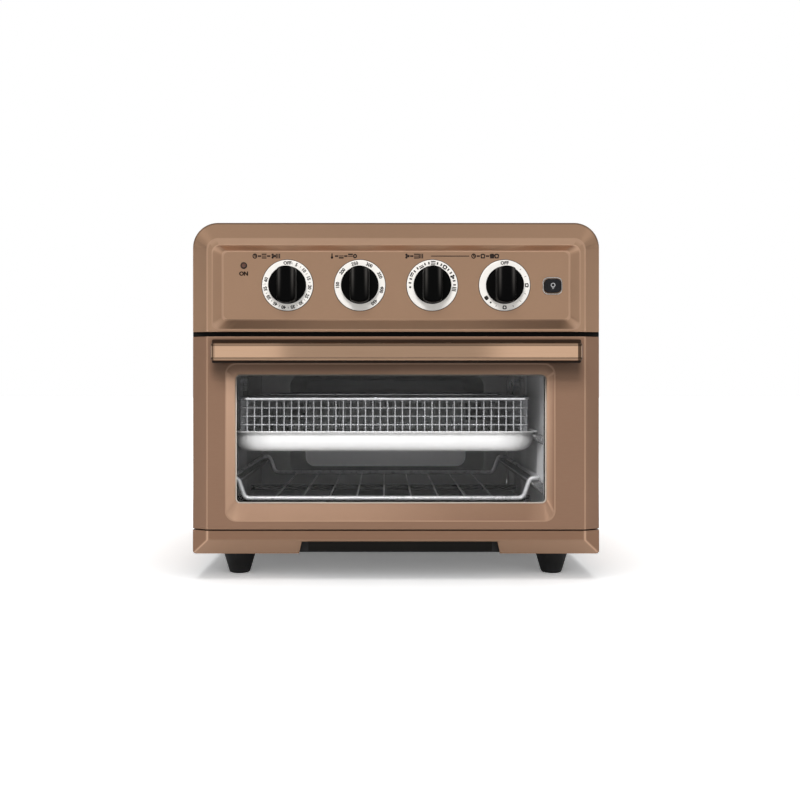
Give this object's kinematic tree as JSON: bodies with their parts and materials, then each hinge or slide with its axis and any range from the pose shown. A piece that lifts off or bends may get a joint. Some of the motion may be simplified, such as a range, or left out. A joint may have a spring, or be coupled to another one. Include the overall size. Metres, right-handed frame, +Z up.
{
  "type": "air fryer toaster oven",
  "caption": "Countertop air fryer toaster oven with a drop-down glass door, bar handle, dial controls, slide-out rack, pan and basket, crumb tray and a convection fan.",
  "frame": {"origin": "centre of the bounding box at the underside of the feet", "axes": "+Z up, +X to the right seen from the front, the front with its door and dials faces -Y"},
  "size_m": [0.406, 0.394, 0.3555],
  "materials": {
    "fascia": "warm copper metallic, fine satin",
    "cabinet": "warm copper metallic, fine satin",
    "black_sheet": "black semi-matt powder coat",
    "chassis": "plain zinc-coated sheet",
    "cavity_coating": "grey non-stick coating",
    "door_liner": "dark grey coating",
    "glass": "clear tempered glass",
    "knob": "black moulded plastic, fine satin",
    "dial": "silver printed disc",
    "button": "dark grey moulded plastic",
    "bezel": "silver plated frame",
    "pilot_lens": "translucent red lens",
    "element": "dark sheathed heating rod",
    "ceramic": "unglazed white ceramic",
    "wire": "bright plated wire",
    "pan": "bright smooth sheet",
    "tray": "black non-stick coating",
    "rubber": "black rubber",
    "hardware": "plated steel",
    "control_body": "dark phenolic moulding",
    "fan_sheet": "pressed sheet",
    "motor": "lacquered can",
    "cleat": "black moulded plastic"
  },
  "bodies": {
    "cabinet": {"control_panel": "fascia", "base_trim": "fascia", "outer_wrap": "cabinet", "rear_panel": "black_sheet", "bottom_plate": "black_sheet", "front_frame": "chassis", "hinge_brackets": "chassis", "fan_guard": "chassis", "cavity_left_wall": "cavity_coating", "cavity_right_wall": "cavity_coating", "cavity_roof": "cavity_coating", "cavity_floor": "cavity_coating", "cavity_back_wall": "cavity_coating", "cavity_lamp_housing": "cavity_coating", "cavity_lamp_lens": "glass", "cavity_lamp_bulb": "glass", "dial_plates": "dial", "light_button_bezel": "bezel", "power_lamp": "pilot_lens", "upper_elements": "element", "lower_elements": "element", "element_holders": "ceramic", "feet": "rubber", "cord_gland": "rubber", "cabinet_screws": "hardware", "thermostat_bulb": "hardware", "oven_timer_unit": "control_body", "thermostat_unit": "control_body", "function_switch_unit": "control_body", "toast_timer_unit": "control_body", "light_switch_unit": "control_body", "fan_motor": "motor", "cord_cleats": "cleat"},
    "door": {"door_panel": "fascia", "door_inner_frame": "door_liner", "door_glass": "glass", "glass_gasket": "rubber", "door_handle": "fascia", "handle_legs": "fascia", "hinge_clevises": "chassis", "hinge_pins": "hardware", "door_screws": "hardware"},
    "oven_timer_knob": {"oven_timer_knob": "knob", "oven_timer_shaft": "hardware"},
    "temperature_knob": {"temperature_knob": "knob", "temperature_shaft": "hardware"},
    "function_knob": {"function_knob": "knob", "function_shaft": "hardware"},
    "toast_timer_knob": {"toast_timer_knob": "knob", "toast_timer_shaft": "hardware"},
    "light_button": {"light_button": "button"},
    "fan_rotor": {"fan_blades": "fan_sheet", "fan_shaft": "hardware"},
    "oven_rack": {"oven_rack": "wire"},
    "baking_pan": {"baking_pan": "pan"},
    "basket": {"basket_rim": "wire", "basket_end_nets": "wire", "basket_long_nets": "wire", "basket_floor_net": "wire"},
    "crumb_tray": {"crumb_tray": "tray"}
  },
  "joints": [
    {"name": "door_hinge", "type": "hinge", "parent": "cabinet", "child": "door", "pos_m": [0, -0.157, 0.0582], "axis": [1, 0, 0], "range_deg": [0, 90], "stiffness_Nm_per_rad": 0.35, "springref_deg": -34.38},
    {"name": "oven_timer_turn", "type": "hinge", "parent": "cabinet", "child": "oven_timer_knob", "pos_m": [-0.1083, -0.1637, 0.2929], "axis": [0, 1, 0], "range_deg": [0, 285]},
    {"name": "temperature_turn", "type": "hinge", "parent": "cabinet", "child": "temperature_knob", "pos_m": [-0.0361, -0.1637, 0.2929], "axis": [0, 1, 0], "range_deg": [-90, 140]},
    {"name": "function_turn", "type": "hinge", "parent": "cabinet", "child": "function_knob", "pos_m": [0.0361, -0.1637, 0.2929], "axis": [0, 1, 0], "range_deg": [-95, 100]},
    {"name": "toast_timer_turn", "type": "hinge", "parent": "cabinet", "child": "toast_timer_knob", "pos_m": [0.1083, -0.1637, 0.2929], "axis": [0, 1, 0], "range_deg": [0, 235]},
    {"name": "light_button_press", "type": "slide", "parent": "cabinet", "child": "light_button", "axis": [0, 1, 0], "range_m": [0, 0.0025], "stiffness_N_per_m": 400, "springref_m": -0.002},
    {"name": "fan_spin", "type": "hinge", "parent": "cabinet", "child": "fan_rotor", "pos_m": [-0.012, 0.002, 0.225], "axis": [0, 0, 1], "continuous": true},
    {"name": "rack_slide", "type": "slide", "parent": "cabinet", "child": "oven_rack", "axis": [0, -1, 0], "range_m": [0, 0.0475]},
    {"name": "pan_slide", "type": "slide", "parent": "cabinet", "child": "baking_pan", "axis": [0, -1, 0], "range_m": [0, 0.127]},
    {"name": "basket_lift", "type": "slide", "parent": "baking_pan", "child": "basket", "axis": [0, 0, 1], "range_m": [0, 0.015]},
    {"name": "crumb_tray_slide", "type": "slide", "parent": "cabinet", "child": "crumb_tray", "axis": [0, 1, 0], "range_m": [-0.25, 0]}
  ],
  "couplings": [
    {"joint": "rack_slide", "follows": "door_hinge", "m_per_rad": 0.03},
    {"joint": "pan_slide", "follows": "door_hinge", "m_per_rad": 0.08}
  ]
}
